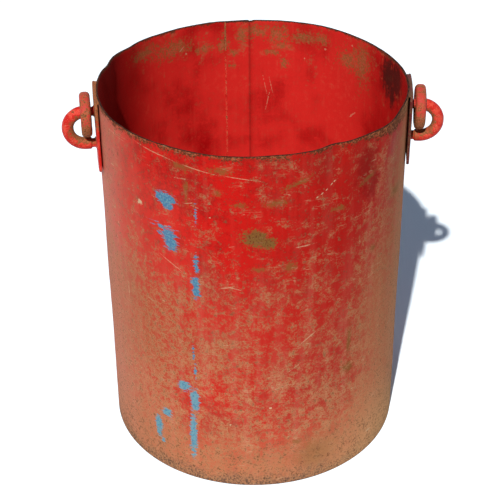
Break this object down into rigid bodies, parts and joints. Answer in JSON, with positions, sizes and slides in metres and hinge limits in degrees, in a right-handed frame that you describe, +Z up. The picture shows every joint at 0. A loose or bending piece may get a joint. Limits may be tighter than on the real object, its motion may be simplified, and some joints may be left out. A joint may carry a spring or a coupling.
{
  "type": "fire bucket",
  "caption": "Straight-sided round steel fire bucket with an open mouth, a lapped back seam, a flat bottom and on each side a lug plate, a staple and a loose ring.",
  "frame": {"origin": "centre of the bucket's bounding box at its lower edge, on the shell's axis, where it stands on the floor", "axes": "+Z up along the shell's axis to the open mouth, X through the two ears with the left ear at -X, +Y to the back, where the lap seam is"},
  "size_m": [0.2946, 0.24, 0.304],
  "materials": {
    "shell_paint": "old red gloss paint, worn, scratched and stained with rust",
    "bottom_paint": "dull dark red paint over steel",
    "weld": "rough weld metal, thinly painted and rusty",
    "lug_paint": "old red gloss paint over bent plate, rusty at the edges",
    "staple_paint": "red paint over forged round bar, worn to brown inside the bend",
    "ring_paint": "faded red paint, brown with rust on the lower half"
  },
  "bodies": {
    "bucket": {"body_shell": "shell_paint", "seam_weld": "weld", "bottom_plate": "bottom_paint", "base_weld": "weld", "left_lug_plate": "lug_paint", "left_rim_weld": "weld", "left_staple": "staple_paint", "right_lug_plate": "lug_paint", "right_rim_weld": "weld", "right_staple": "staple_paint"},
    "left_ring": {"left_ring": "ring_paint"},
    "right_ring": {"right_ring": "ring_paint"}
  },
  "joints": [
    {"name": "left_ring_swing", "type": "hinge", "parent": "bucket", "child": "left_ring", "pos_m": [-0.12806, -0.01278, 0.2881], "axis": [-0.9951, -0.0993, 0], "continuous": true},
    {"name": "right_ring_swing", "type": "hinge", "parent": "bucket", "child": "right_ring", "pos_m": [0.12806, -0.01278, 0.2881], "axis": [0.9951, -0.0993, 0], "continuous": true}
  ]
}
